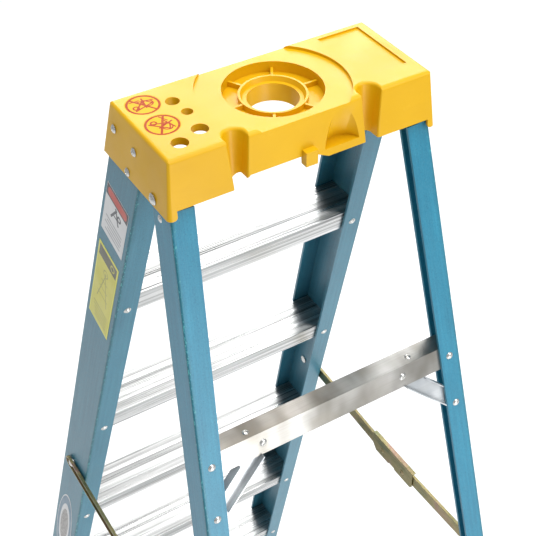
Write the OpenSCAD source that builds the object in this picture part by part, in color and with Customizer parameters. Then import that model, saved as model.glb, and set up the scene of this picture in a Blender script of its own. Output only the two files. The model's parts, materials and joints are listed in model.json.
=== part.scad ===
// Six-foot fibreglass step ladder, standing open on the floor.
// X runs across the steps, -Y is the climbing side, +Y is the rear side and Z is up.
// The origin is on the floor, under the middle of the open ladder.

/* [Ladder] */
// Length of the ladder along a front rail, from the top of the cap to the floor
rail_length = 1828.8; // [1800:5:1860]
// Distance from one step to the next, along a front rail
step_pitch = 304.8; // [296:1:308]
// Distance from the top of the cap to the first step, along a front rail
first_step_drop = 296.8; // [290:1:310]
// Lean of the front rails from upright, in degrees
front_lean = 16.6; // [15:0.1:18]
// Lean of the rear rails from upright, in degrees
rear_lean = 14.1; // [13:0.1:16]
// Lean of every rail to its own side, in degrees
splay = 4.3; // [4:0.1:4.6]
// Distance over the outer faces of the rails at the top of the cap
rail_span_top = 325.6; // [324:0.2:327]

/* [Front rails] */
// Width of the front rail, from its front flange to its rear flange
front_web = 73; // [72:0.5:76]
// Width of the front rail's two flanges
front_flange = 30; // [28:0.5:32]
// Thickness of the rails
rail_wall = 3.6; // [3:0.1:4]

/* [Rear rails] */
// Width of the rear rail, from its front flange to its rear flange
rear_web = 43; // [42:0.5:45]
// Width of the rear rail's rear flange
rear_flange = 29; // [28:0.5:31]
// Width of the rear rail's front flange
rear_front_flange = 13; // [11:0.5:15]

/* [Steps] */
// Height of the aprons under a tread
apron_height = 36.5; // [34:0.5:38]
// Thickness of the step's metal
step_wall = 2; // [1.8:0.1:2.4]
// Distance from one grip rib of a tread to the next
rib_pitch = 2.9; // [2.7:0.1:3.1]

/* [Top cap] */
// Length of the cap across the ladder, at its top
cap_length = 331; // [331:0.5:334]
// Depth of the cap from front to rear, at its top
cap_depth = 135; // [134:0.5:138]
// Height of the cap's two ends
cap_end_height = 70; // [68:0.5:72]
// Height of the cap's long sides
cap_side_height = 59; // [56:0.5:60]
// Height of the long sides between the two holster slots
cap_middle_height = 48; // [46:0.5:50]
// Wall thickness of the cap
cap_wall = 3; // [2.6:0.1:3.2]
// Radius of the round hole in the middle of the cap
cap_hole_r = 29.5; // [28:0.5:31]

/* [Rear braces] */
// Height of a brace's rear face
brace_height = 31; // [29:0.5:34]
// Depth of a brace's top flange
brace_depth = 24; // [22:0.5:26]
// Height of the upper brace's top edge below the top of the cap
brace_drop = 370; // [365:1:376]

/* [Spreaders] */
// Height of the spreader bars
bar_height = 20; // [19:0.5:22]
// Depth of the spreader bars' pressed channel
bar_depth = 4.5; // [4:0.5:6]
// Thickness of the spreaders' steel
bar_wall = 1.8; // [1.5:0.1:2]

/* [Hidden] */
$fn = 48;

// Colours
cap_yellow = [0.93, 0.72, 0.05];
rail_blue = [0.16, 0.47, 0.62];
bare_metal = [0.78, 0.79, 0.8];
zinc_brass = [0.5, 0.46, 0.25];
shoe_black = [0.1, 0.1, 0.11];
label_white = [0.93, 0.93, 0.92];
label_yellow = [0.95, 0.85, 0.15];
label_red = [0.8, 0.15, 0.05];

// A large length, for cutting half-spaces
big = 3000;
// A small gap between two touching pieces
gap = 0.15;

// Rails. Their own frames have the origin on the rail's outer rear corner at the level of
// the cap's top, +X outward, +Y to the rear and +Z up along the rail.
front_rail_y = 20.8;
rear_rail_y = 51.2;
rear_rail_inset = 1;
half_top = rail_span_top / 2;
height = rail_length * cos(front_lean) * cos(splay);
rail_corner_r = 2.5;
front_rail_start = 29;
shoe_wall = 4;
shoe_height = 58;
shoe_floor = 12;
rear_rail_length = height / (cos(rear_lean) * cos(splay));
rear_shoe_floor = 20;

// Slopes of the rails in side view, and how far a flange turns inward across its width
front_slope = tan(front_lean) / cos(splay);
rear_slope = tan(rear_lean) / cos(splay);
front_sag = front_flange * tan(front_lean) * sin(splay);
rear_sag = rear_flange * tan(rear_lean) * sin(splay);

// Where the feet reach at the floor, and the cap's place that puts them evenly about Y = 0
front_reach = (front_web + shoe_wall) / cos(front_lean) + height * front_slope;
rear_reach = shoe_wall / cos(rear_lean) + height * rear_slope;
cap_y = (front_reach - front_rail_y - rear_reach - rear_rail_y) / 2;

// Rivets
rivet_r = 2.6;
rivet_head_r = 5.2;
rivet_head_h = 2.4;
rivet_tail_r = 4.2;
rivet_tail_h = 1.2;
rivet_play = 0.1;

// Cap rivets in a front rail's frame: [Y, distance down the rail]
cap_rivet_spots = [[-64, 48.6], [-17.4, 37], [-22, 73.5]];

// Hinge pin of the rear section, in the cap's frame
pin_y = 38.4;
pin_drop = 61.6;
pin_r = 4;
running_play = 0.05;
rear_top_r = 22;
rear_flange_start = 66;
plate_rivet_drop = 24;
hinge_plate_wall = 2;
hinge_pin_depth = 10;

// The hinge pin's place in the rear rail's frame
pin_down = pin_drop / cos(splay) * cos(rear_lean) + (pin_y - rear_rail_y) * sin(rear_lean);
pin_across = (pin_y - rear_rail_y) * cos(rear_lean) - pin_drop / cos(splay) * sin(rear_lean);

// Cap outline: how far each side leans out for each millimetre down
cap_front_draft = 0.243;
cap_rear_draft = 0.1;
cap_end_draft = 0.093;
hinge_pin_rise = cap_length / 2 - half_top + (cap_end_draft - tan(splay)) * pin_drop + 0.6;
cap_top_thickness = 4;
cap_edge_r = 5;
ear_width = 11;

// Cap top details
dish_r = 87;
dish_depth = 3.5;
well_r = 57;
well_depth = 17;
ring_outer_r = 39;
ring_inner_r = 36.5;
ring_top = 10;
ledge_top = 15.5;
ledge_r = 34;
hole_depth = 38;
web_width = 3;
web_top = 11;
slot_x = 84;
slot_y = 60;
slot_r = 13;
slot_bottom_r = 7.5;
slot_drop = 60;
tray_x = [-152, -96];
tray_y = [-58, 38];
tray_depth = 2.2;
tool_holes = [[104, -4, 6.6], [108.3, 31.5, 9.6], [138, 43, 9.6], [108, -30, 8]];
boss_drop = 9;
boss_wall = 2.4;
decal_r = 19.6;
decal_depth = 0.4;
decal_thickness = 0.3;
decal_front = [138, -40];
decal_rear = [138, 4.5];
tab_width = 15;
tab_top = 40;
tab_bottom = 58;
tab_reach = 80;
slot_taper = (slot_r - slot_bottom_r) / slot_drop;
slot_rim_r = 3.5;
cap_corner_r = 6;
slot_corner_r = 3;
ear_tip_r = 4;
scoop_x = -44;
scoop_r = 24;
scoop_start = 8.6;
scoop_lean = 0.38;
scoop_floor = 50;

// Steps
rib_height = 0.8;
rib_width = 1.6;
rib_bands = [[1, 5], [21, 8], [51, 5]];
step_lip = 6;
first_step_z = first_step_drop * cos(front_lean) * cos(splay);
step_fall = step_pitch * cos(front_lean) * cos(splay);
step_rivet_drop = 23;
step_rivet_inset = 16;

// Knee braces
knee_y = -38;
knee_wall = 2.5;
knee_top_drop = first_step_z + 4 * step_fall + step_wall;
knee_step_x = half_span(knee_top_drop) - 78;
knee_rail_down = (knee_top_drop + 92) / (cos(front_lean) * cos(splay));

// Labels
label_thickness = 0.35;

// Braces
brace_wall = 2;
brace_gaps = 3;
brace_spacing = (height - brace_drop) / brace_gaps;
brace_rivet_drop = 11.8;
brace_rivet_inset = 15.5;
gusset_rivet_drop = 15.5;
gusset_rivet_x = 103;
gusset_drop = 88;
gusset_width = 22;
gusset_flange = 9;
gusset_lip = 7;
gusset_wall = 1.6;
lug_rivet_x = 119.6;
lug_rivet_y = -10;
lug_rivet_r = 2;

// From a rear rail's rear face to the inner face of a gusset's lower end
gusset_grip = rail_wall + 2 * gap + brace_wall + gusset_wall + rear_sag * 0.75;

// Spreaders, in the cap's frame: pivots as [Y, drop below the cap's top]
spread_front = [-248, 750];
spread_plate_front = [-20, 765];
spread_plate_rear = [31.5, 765];
spread_rear = [220, 757];
bar_inner_x = 221;
plate_inner_x = 218.6;
plate_wall = 2;
plate_top = 745;
plate_bottom = 779;
plate_ends = [-46, 58];
plate_flange = 7;
bar_line = 764;
spread_rivet_r = 3.5;
spread_pivot_r = 4;
spread_pivot_depth = 6.2;
bar_overhang = 4;

// ---------------------------------------------------------------- shared shapes

// Points along an arc, from angle a0 to a1
function arc(cx, cy, r, a0, a1, n = 4) =
  [for (i = [0 : n]) [cx + r * cos(a0 + (a1 - a0) * i / n), cy + r * sin(a0 + (a1 - a0) * i / n)]];

// The half-width between the rails' outer faces at a drop below the cap's top
function half_span(drop) = half_top + drop * tan(splay);

// The Y of the front rail's rear corner, and of the rear rail's, at a drop
function front_corner_y(drop) = front_rail_y - drop * front_slope;
function rear_corner_y(drop) = rear_rail_y + drop * rear_slope;

module on_side(side) {
  if (side > 0) children();
  else mirror([1, 0, 0]) children();
}

// Origin at the middle of the cap's top
module cap_frame() translate([0, cap_y, height]) children();

// The front rail's frame on the right side, +X
module front_frame()
  translate([half_top, front_rail_y, 0]) rotate([0, -splay, 0]) rotate([-front_lean, 0, 0]) children();

// The rear rail's frame on the right side, +X
module rear_frame()
  translate([half_top - rear_rail_inset, rear_rail_y, 0])
    rotate([0, -splay, 0]) rotate([rear_lean, 0, 0]) children();

// Extrudes a (Y, Z) outline along X, from x0 to x1
module along_x(x0, x1) translate([x0, 0, 0]) rotate([90, 0, 90]) linear_extrude(x1 - x0) children();

// Extrudes an (X, Z) outline along Y, from y0 to y1
module along_y(y0, y1) translate([0, y1, 0]) rotate([90, 0, 0]) linear_extrude(y1 - y0) children();

// A channel's outline: web on X = 0, flanges pointing to -X
module channel_outline(web, rear, front) {
  polygon(concat(
    arc(-rail_corner_r, -rail_corner_r, rail_corner_r, 90, 0),
    arc(-rail_corner_r, -web + rail_corner_r, rail_corner_r, 0, -90),
    [[-front, -web], [-front, -web + rail_wall], [-rail_wall, -web + rail_wall],
     [-rail_wall, -rail_wall], [-rear, -rail_wall], [-rear, 0]]));
}

// A dome-headed rivet along Z, with its head above Z = 0 and its tail below Z = -grip
module rivet(grip, r = rivet_r, head_r = rivet_head_r, head_h = rivet_head_h, tail_r = rivet_tail_r) {
  dome_r = (head_r * head_r + head_h * head_h) / (2 * head_h);
  intersection() {
    translate([0, 0, head_h - dome_r]) sphere(dome_r);
    cylinder(r = head_r + 1, h = head_h + 1);
  }
  translate([0, 0, -grip]) cylinder(r = r, h = grip);
  if (tail_r > 0) translate([0, 0, -grip - rivet_tail_h]) cylinder(r = tail_r, h = rivet_tail_h);
}

// The same rivet with a hollow in the middle of its head
module hollow_rivet(grip, r = rivet_r, head_r = rivet_head_r, head_h = rivet_head_h, tail_r = rivet_tail_r)
  difference() {
    rivet(grip, r, head_r, head_h, tail_r);
    translate([0, 0, head_h * 0.2]) cylinder(r1 = head_r * 0.34, r2 = head_r * 0.5, h = head_h);
  }

// The hole that a rivet along Z passes through
module rivet_hole(r = rivet_r) translate([0, 0, -20]) cylinder(r = r + rivet_play, h = 40);

// ---------------------------------------------------------------- places of the fasteners

// A cap rivet's place on one side; +Z of the children points outward
module at_cap_rivet(spot) front_frame() translate([0, spot[0], -spot[1]]) rotate([0, 90, 0]) children();

// How far the cap's end stands outside a rail at a drop
function cap_rise(drop) = cap_length / 2 - half_top + (cap_end_draft - tan(splay)) * drop + gap;

// The hinge pin on the right side; +Z of the children points outward
module at_hinge_pin() translate([half_span(pin_drop), pin_y, -pin_drop]) rotate([0, 90, 0]) children();

// The rivet that holds the hinge plate in the rear rail
module at_plate_rivet()
  rear_frame() translate([0, pin_across + 1, -pin_down - plate_rivet_drop]) rotate([0, 90, 0]) children();

// Rivets of the steps on one side: rear flange, then front flange
module at_step_rivets(number) {
  down = first_step_drop + (number - 1) * step_pitch + step_rivet_drop;
  front_frame() translate([-step_rivet_inset, 0, -down]) {
    rotate([-90, 0, 0]) children();
    translate([0, -front_web, -front_web * tan(front_lean)]) rotate([90, 0, 0]) children();
  }
}

// Rivet on the rear rail's rear flange, at a distance below a brace's top edge
module at_brace_rivet(number, extra) {
  down = brace_top(number) / (cos(rear_lean) * cos(splay)) + extra;
  rear_frame() translate([-brace_rivet_inset, 0, -down]) rotate([-90, 0, 0]) children();
}

// Drop of a brace's top edge
function brace_top(number) = brace_drop + (number - 1) * brace_spacing;

// The plane of a brace's rear face, with Y across it and Z up the slope
module brace_plane(number)
  translate([0, brace_y(number), -brace_top(number)]) rotate([atan(rear_slope), 0, 0]) children();

// Where a brace's rear face starts, just inside the rails' rear flanges
function brace_y(number) = rear_corner_y(brace_top(number)) - (rail_wall + gap) / cos(rear_lean) - rear_sag;

// Rivet through a brace's face and its gusset's upper end
module at_gusset_rivet(number)
  brace_plane(number) translate([gusset_top_x(number), 0, -gusset_rivet_drop]) rotate([-90, 0, 0]) children();

// Rivet through a brace's top flange and the lug of its gusset
module at_lug_rivet(number)
  translate([lug_rivet_x + gusset_top_x(number) - gusset_rivet_x, brace_y(number) + lug_rivet_y, -brace_top(number)])
    children();

// Across the ladder to a gusset's upper rivet: it keeps its distance from the rail
function gusset_top_x(number) = gusset_rivet_x + (number - 1) * brace_spacing * tan(splay);

// Across the ladder to a gusset's lower rivet
function gusset_low_x(number) =
  half_span(brace_top(number) + gusset_drop * cos(rear_lean)) - rear_rail_inset - brace_rivet_inset;

// ---------------------------------------------------------------- top cap

// The cap's outer block, or with inset its inner space
module cap_block(inset = 0, top = 0) {
  low = -cap_end_height - (inset > 0 ? 1 : 0);
  half_d = cap_depth / 2 - inset;
  half_l = inset > 0 ? half_top + gap : cap_length / 2;
  end_draft = inset > 0 ? tan(splay) : cap_end_draft;
  r = inset > 0 ? 1 : cap_edge_r;
  intersection() {
    along_x(-big, big) polygon(concat(
      [[-half_d + low * cap_front_draft, low]],
      arc(-half_d + r + top * cap_front_draft, top - r, r, 166, 90),
      arc(half_d - r - top * cap_rear_draft, top - r, r, 90, 6),
      [[half_d - low * cap_rear_draft, low]]));
    along_y(-big, big) polygon(concat(
      [[-half_l + low * end_draft, low]],
      arc(-half_l + r + top * end_draft, top - r, r, 175, 90),
      arc(half_l - r - top * end_draft, top - r, r, 90, 5),
      [[half_l - low * end_draft, low]]));
  }
}

// A holster slot's tapered space, grown by a margin
module slot_space(margin = 0) {
  r1 = slot_bottom_r + margin;
  r2 = slot_r + margin;
  translate([0, slot_y, -slot_drop]) cylinder(r1 = r1, r2 = r2, h = slot_drop);
  along_y(slot_y, slot_y + 40) polygon([[-r1, -slot_drop], [-r2, 0], [r2, 0], [r1, -slot_drop]]);
}

// Everything that stands under the cap's top, before its holes are cut
module cap_inside() {
  translate([0, 0, -dish_depth - cap_top_thickness])
    cylinder(r = dish_r + cap_wall, h = dish_depth + cap_top_thickness);
  translate([0, 0, -well_depth - cap_wall]) cylinder(r = well_r + cap_wall, h = well_depth + cap_wall);
  translate([0, 0, -hole_depth]) cylinder(r = cap_hole_r + cap_wall, h = hole_depth);
  for (side = [-1, 1])
    translate([side * slot_x, 0, 0]) slot_space(cap_wall);
  translate([tray_x[0] - cap_wall, tray_y[0] - cap_wall, -tray_depth - cap_top_thickness])
    cube([tray_x[1] - tray_x[0] + 2 * cap_wall, tray_y[1] - tray_y[0] + 2 * cap_wall,
          tray_depth + cap_top_thickness]);
  for (hole = tool_holes)
    translate([hole[0], hole[1], -boss_drop]) cylinder(r = hole[2] + boss_wall, h = boss_drop);
  scoop_space(cap_wall);
}

// A scoop in the rear side: an inclined round recess that deepens down to a floor
module scoop_space(margin = 0) {
  intersection() {
    translate([scoop_x, cap_depth / 2 + scoop_r + scoop_lean * scoop_start, 0])
      rotate([-atan(scoop_lean - cap_rear_draft), 0, 0])
        cylinder(r = scoop_r + margin, h = 200, center = true);
    translate([-big, 0, -scoop_floor - margin]) cube(2 * big);
  }
}

// The rounded rim round a slot's mouth
module slot_rim() {
  middle = slot_r - slot_taper * slot_rim_r + slot_rim_r;
  translate([0, slot_y, 0]) rotate_extrude() rim_outline(middle);
  for (side = [-1, 1])
    on_side(side) along_y(slot_y, slot_y + 40) rim_outline(middle);
}

module rim_outline(middle) difference() {
  translate([middle - slot_rim_r - 1, -slot_rim_r]) square([slot_rim_r + 1, slot_rim_r + 1]);
  translate([middle, -slot_rim_r]) circle(slot_rim_r);
}

// Rounds an upright edge of a solid that fills -X and -Y; the edge leans out on the way down
module edge_round(lean_x, lean_y, r) {
  slant = norm([lean_x, lean_y, 1]);
  turn = lean_x * lean_y / (norm([1, lean_x]) * norm([1, lean_y]));
  across = sqrt(1 - turn * turn);
  rotate([asin(lean_y / slant), -atan(lean_x), 0])
    translate([0.03 - r, (0.03 - r) * across / (1 + turn), -100]) linear_extrude(120) difference() {
      polygon([[0, 0], [2 * r, 0], [2 * r * (1 + turn), 2 * r * across], [2 * r * turn, 2 * r * across]]);
      circle(r);
    }
}

// Rounds the cap's four upright edges and the slots' open edges
module cap_edge_rounds() {
  for (side = [-1, 1])
    on_side(side) {
      translate([cap_length / 2, cap_depth / 2, 0]) edge_round(cap_end_draft, cap_rear_draft, cap_corner_r);
      mirror([0, 1, 0]) translate([cap_length / 2, cap_depth / 2, 0])
        edge_round(cap_end_draft, cap_front_draft, cap_corner_r);
      translate([slot_x - slot_r, cap_depth / 2, 0]) edge_round(slot_taper, cap_rear_draft, slot_corner_r);
      translate([slot_x + slot_r, cap_depth / 2, 0])
        mirror([1, 0, 0]) edge_round(slot_taper, cap_rear_draft, slot_corner_r);
    }
}

// The round well around the hole, with its ring and its six webs left standing
module cap_well() {
  difference() {
    translate([0, 0, -well_depth]) cylinder(r = well_r, h = well_depth + 1);
    translate([0, 0, -well_depth - 1]) difference() {
      cylinder(r = ring_outer_r, h = well_depth + 1 - ring_top);
      translate([0, 0, well_depth + 1 - ledge_top]) cylinder(r1 = ledge_r, r2 = ring_inner_r, h = ledge_top - ring_top);
    }
    for (turn = [0 : 60 : 300])
      rotate([0, 0, turn])
        translate([ring_outer_r - 1, -web_width / 2, -well_depth - 1])
          cube([well_r - ring_outer_r + 4, web_width, well_depth + 1 - web_top]);
  }
  translate([0, 0, -hole_depth - 1]) cylinder(r = cap_hole_r, h = hole_depth + 2);
  translate([0, 0, -dish_depth]) cylinder(r = dish_r, h = dish_depth + 1);
}

// The long sides' lower edges: ears at the ends, higher in the middle
module cap_side_cut() {
  ear_x = cap_length / 2 + cap_end_height * cap_end_draft - ear_width;
  tip_x = ear_x + ear_tip_r;
  tip_z = -cap_end_height + ear_tip_r;
  along_y(-big, big) polygon(concat(
    [[-ear_x, -cap_side_height], [scoop_x + 18, -cap_side_height],
     [scoop_x + 31, -cap_side_height + 6], [scoop_x + 31, -cap_middle_height],
     [slot_x - 12, -cap_middle_height], [slot_x, -cap_side_height], [ear_x, -cap_side_height]],
    arc(tip_x, tip_z, ear_tip_r, 180, 270),
    [[tip_x, -cap_end_height - 1], [-tip_x, -cap_end_height - 1]],
    arc(-tip_x, tip_z, ear_tip_r, 270, 360)));
}

module top_cap() color(cap_yellow) cap_frame() {
  difference() {
    union() {
      difference() {
        cap_block();
        cap_block(cap_wall, -cap_top_thickness);
      }
      intersection() {
        cap_block();
        cap_inside();
      }
    }
    cap_side_cut();
    cap_well();
    for (side = [-1, 1])
      translate([side * slot_x, 0, 0.01]) {
        slot_space();
        slot_rim();
      }
    scoop_space();
    cap_edge_rounds();
    translate([tray_x[0], tray_y[0], -tray_depth])
      cube([tray_x[1] - tray_x[0], tray_y[1] - tray_y[0], tray_depth + 1]);
    for (hole = tool_holes)
      translate([hole[0], hole[1], -boss_drop - 1]) cylinder(r = hole[2], h = boss_drop + 2);
    for (spot = [decal_front, decal_rear])
      translate([spot[0], spot[1], -decal_depth]) cylinder(r = decal_r + gap, h = 1);
    for (side = [-1, 1])
      on_side(side) {
        for (spot = cap_rivet_spots) at_cap_rivet(spot) rivet_hole();
        at_hinge_pin() rivet_hole(pin_r);
      }
  }
  // Small block at the middle of the rear side
  difference() {
    translate([-tab_width / 2, cap_depth / 2 - 1, -tab_bottom])
      cube([tab_width, tab_reach - cap_depth / 2 + 1, tab_bottom - tab_top]);
    cap_block(cap_wall, -cap_top_thickness);
    translate([-tab_width / 2 - 1, 0, -tab_bottom - 1])
      cube([tab_width + 2, cap_depth / 2 + cap_middle_height * cap_rear_draft - cap_wall,
            tab_bottom]);
  }
}

module cap_decal(spot) color(label_red) cap_frame()
  translate([spot[0], spot[1], -decal_depth]) cylinder(r = decal_r, h = decal_thickness);
module cap_decal_front() cap_decal(decal_front);
module cap_decal_rear() cap_decal(decal_rear);

module cap_rivets() color(bare_metal) cap_frame()
  for (side = [-1, 1], spot = cap_rivet_spots)
    on_side(side) at_cap_rivet(spot)
      translate([0, 0, cap_rise(spot[1])]) hollow_rivet(cap_rise(spot[1]) + rail_wall);

module hinge_pins() color(bare_metal) cap_frame()
  for (side = [-1, 1])
    on_side(side) at_hinge_pin() translate([0, 0, hinge_pin_rise])
      rivet(hinge_pin_rise + hinge_pin_depth, pin_r, 7, 3, 0);

// ---------------------------------------------------------------- front section

module front_rail(side) color(rail_blue) cap_frame() on_side(side) difference() {
  front_frame()
    translate([0, 0, -rail_length + shoe_floor])
      linear_extrude(rail_length - shoe_floor - front_rail_start)
        channel_outline(front_web, front_flange, front_flange);
  for (spot = cap_rivet_spots) at_cap_rivet(spot) rivet_hole();
  for (number = [1 : 5]) at_step_rivets(number) rivet_hole();
  at_shoe_rivet_front() rivet_hole();
  at_knee_rivet_rail() rivet_hole();
  at_spread_front() rivet_hole(spread_pivot_r);
}
module front_rail_left() front_rail(-1);
module front_rail_right() front_rail(1);

module at_shoe_rivet_front()
  front_frame() translate([0, -front_web / 2, -rail_length + shoe_height - 14]) rotate([0, 90, 0]) children();
module at_shoe_rivet_rear()
  rear_frame() translate([0, -rear_web / 2, -rear_rail_length + shoe_height - 14]) rotate([0, 90, 0]) children();

// A shoe that boxes the rail's foot and stands flat on the floor
module shoe(length, web, flange, floor_height) {
  difference() {
    translate([-flange - shoe_wall, -web - shoe_wall, -length - 40])
      cube([flange + 2 * shoe_wall, web + 2 * shoe_wall, shoe_height + 40]);
    translate([-flange - gap, -web - gap, -length + floor_height - gap])
      cube([flange + 2 * gap, web + 2 * gap, shoe_height]);
    translate([-flange - shoe_wall - 1, -web + rail_wall + 8, -length + floor_height + 14])
      cube([flange - 4, web - 2 * rail_wall - 16, shoe_height]);
  }
}

// Grooves across the sole
module sole_grooves(y0, y1) {
  step = 9;
  for (y = [y0 : step : y1])
    translate([-big, y, -height - 1]) cube([2 * big, 3, 3]);
}

module front_shoe(side) color(shoe_black) cap_frame() on_side(side) difference() {
  front_frame() shoe(rail_length, front_web, front_flange, shoe_floor);
  translate([-big, -big, -height - big]) cube([2 * big, 2 * big, big]);
  sole_grooves(-front_reach + front_rail_y + 10, -front_reach + front_rail_y + 72);
  at_shoe_rivet_front() rivet_hole();
}
module front_shoe_left() front_shoe(-1);
module front_shoe_right() front_shoe(1);
module front_shoe_rivets() color(bare_metal) cap_frame()
  for (side = [-1, 1])
    on_side(side) at_shoe_rivet_front() translate([0, 0, shoe_wall]) rivet(shoe_wall + rail_wall);

// A step in the (Y, Z) plane, with Y = 0, Z = 0 at its upper rear corner
module step_outline(depth) {
  foot = apron_height * cos(front_lean);
  wall = step_wall / cos(front_lean);
  high = -step_wall;
  low = -foot + step_wall;
  polygon([
    [0, 0], [-foot * front_slope, -foot], [-foot * front_slope - step_lip, -foot],
    [low * front_slope - step_lip, low], [low * front_slope - wall, low],
    [high * front_slope - wall, high], [high * front_slope - depth + wall, high],
    [low * front_slope - depth + wall, low], [low * front_slope - depth + step_lip, low],
    [-foot * front_slope - depth + step_lip, -foot], [-foot * front_slope - depth, -foot], [-depth, 0]]);
  for (band = rib_bands, i = [0 : band[1] - 1])
    translate([-depth + band[0] + i * rib_pitch, -0.01]) square([rib_width, rib_height]);
}

// The space between the rails' webs, or between their flanges, at a margin
module between_rails(margin, y0, y1) {
  along_y(y0, y1) polygon([
    [-half_span(0) + margin, 0], [half_span(0) - margin, 0],
    [half_span(height) - margin, -height], [-half_span(height) + margin, -height]]);
}

module ladder_step(number) color(bare_metal) cap_frame() {
  drop = first_step_z + (number - 1) * step_fall;
  inside = (front_web - 2 * rail_wall - 2 * gap) / cos(front_lean) - front_sag;
  rear = front_corner_y(drop) - (rail_wall + gap) / cos(front_lean);
  full = front_web / cos(front_lean);
  difference() {
    union() {
      intersection() {
        translate([0, rear, -drop]) along_x(-big, big) step_outline(inside);
        between_rails((rail_wall + gap) / cos(splay), -big, big);
      }
      intersection() {
        translate([0, rear, -drop]) along_x(-big, big) step_nose(inside, full);
        between_rails((front_flange + 1) / cos(splay), -big, big);
      }
    }
    for (side = [-1, 1])
      on_side(side) {
        at_step_rivets(number) rivet_hole();
        if (number == 5) {
          at_knee_rivet_step() rivet_hole();
          at_knee_rivet_step() cylinder(r = rivet_head_r + 0.2, h = 6);
        }
      }
  }
}

// The nose that carries a tread forward between the front flanges
module step_nose(inside, full) {
  reach = full - (rail_wall + gap) / cos(front_lean);
  wall = step_wall / cos(front_lean);
  fall = 12;
  polygon([
    [-inside + 0.5, 0], [-inside + 0.5, -step_wall], [-reach - step_wall * front_slope + wall, -step_wall],
    [-reach - fall * front_slope + wall, -fall], [-reach - fall * front_slope, -fall], [-reach, 0]]);
}

module step_1() ladder_step(1);
module step_2() ladder_step(2);
module step_3() ladder_step(3);
module step_4() ladder_step(4);
module step_5() ladder_step(5);
module step_rivets() color(bare_metal) cap_frame()
  for (number = [1 : 5], side = [-1, 1])
    on_side(side) at_step_rivets(number) rivet(rail_wall + gap + step_wall + front_sag * 0.75);

// Knee braces: flat straps from under the lowest step to the front rails
module at_knee_rivet_step()
  translate([knee_step_x, front_corner_y(knee_top_drop) + knee_y, -knee_top_drop + step_wall]) children();
module at_knee_rivet_rail()
  front_frame() translate([0, -30, -knee_rail_down]) rotate([0, 90, 0]) children();

// A flat bar from one point to another
module bar_between(a, b, width, thick) {
  d = b - a;
  run = norm(d);
  translate(a) rotate([0, acos(d[2] / run), atan2(d[1], d[0])])
    translate([-thick / 2, -width / 2, 0]) cube([thick, width, run]);
}

module knee_brace(side) color(bare_metal) cap_frame() on_side(side) difference() {
  y_step = front_corner_y(knee_top_drop) + knee_y;
  rail_drop = (knee_rail_down - 14) * cos(front_lean) * cos(splay);
  x_rail = half_span(rail_drop) - (rail_wall + 2.3 * gap + knee_wall) / cos(splay);
  y_rail = front_corner_y(rail_drop) - 30 / cos(front_lean);
  union() {
    translate([knee_step_x - 13, y_step - 10, -knee_top_drop - gap - knee_wall]) cube([26, 20, knee_wall]);
    bar_between([knee_step_x + 12, y_step, -knee_top_drop - gap - knee_wall / 2 - 0.2],
                [x_rail - 1, y_rail + 2, -rail_drop + 8], 20, knee_wall);
    front_frame() translate([-rail_wall - gap - knee_wall, -40, -knee_rail_down - 12])
      cube([knee_wall, 20, 30]);
  }
  at_knee_rivet_step() rivet_hole();
  at_knee_rivet_rail() rivet_hole();
}
module knee_brace_left() knee_brace(-1);
module knee_brace_right() knee_brace(1);
module knee_brace_rivets() color(bare_metal) cap_frame()
  for (side = [-1, 1])
    on_side(side) {
      at_knee_rivet_step() rivet(step_wall + knee_wall + gap, rivet_r, rivet_head_r, 1);
      at_knee_rivet_rail() rivet(rail_wall + gap + knee_wall);
    }

// Labels lie on the outer face of the right front rail
module on_right_web(y, down) cap_frame() front_frame() translate([0, y, -down]) rotate([90, 0, 90]) children();
module label_plate(width, length) linear_extrude(label_thickness) square([width, length], center = true);
module rail_label_upper() color(label_white) on_right_web(-37, 178) label_plate(56, 82);
module rail_label_lower() color(label_yellow) on_right_web(-37, 318) label_plate(54, 150);
module rail_badge() color(label_white) on_right_web(-39, 1030)
  linear_extrude(label_thickness) polygon([for (turn = [0 : 7.5 : 352.5]) [26 * cos(turn), 112 * sin(turn)]]);

// ---------------------------------------------------------------- rear section

// The rear rail's outline above its rear flange: only the web and the front flange
module rear_top_outline() {
  polygon(concat(
    arc(-rail_corner_r, -rear_web + rail_corner_r, rail_corner_r, 0, -90),
    [[-rear_front_flange, -rear_web], [-rear_front_flange, -rear_web + rail_wall],
     [-rail_wall, -rear_web + rail_wall], [-rail_wall, -rail_wall - 1], [0, -rail_wall - 1]]));
}

module rear_rail(side) color(rail_blue) cap_frame() on_side(side) difference() {
  rear_frame() {
    translate([0, 0, -rear_rail_length + rear_shoe_floor])
      linear_extrude(rear_rail_length - rear_shoe_floor - rear_flange_start)
        channel_outline(rear_web, rear_flange, rear_front_flange);
    // The top is rounded about the hinge pin
    difference() {
      translate([0, 0, -rear_flange_start - 5]) linear_extrude(40) rear_top_outline();
      difference() {
        translate([-40, pin_across - 30, -pin_down]) cube([50, 60, 60]);
        translate([-50, pin_across, -pin_down]) rotate([0, 90, 0]) cylinder(r = rear_top_r, h = 70);
      }
    }
  }
  at_hinge_pin() translate([0, 0, -30]) cylinder(r = pin_r + running_play, h = 60);
  at_plate_rivet() rivet_hole();
  for (number = [1 : 3], extra = [brace_rivet_drop, gusset_drop]) at_brace_rivet(number, extra) rivet_hole();
  at_shoe_rivet_rear() rivet_hole();
}
module rear_rail_left() rear_rail(-1);
module rear_rail_right() rear_rail(1);

module rear_shoe(side) color(shoe_black) cap_frame() on_side(side) difference() {
  rear_frame() shoe(rear_rail_length, rear_web, rear_flange, rear_shoe_floor);
  translate([-big, -big, -height - big]) cube([2 * big, 2 * big, big]);
  sole_grooves(rear_rail_y + rear_reach - 46, rear_rail_y + rear_reach - 8);
  at_shoe_rivet_rear() rivet_hole();
}
module rear_shoe_left() rear_shoe(-1);
module rear_shoe_right() rear_shoe(1);
module rear_shoe_rivets() color(bare_metal) cap_frame()
  for (side = [-1, 1])
    on_side(side) at_shoe_rivet_rear() translate([0, 0, shoe_wall]) rivet(shoe_wall + rail_wall);

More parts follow.
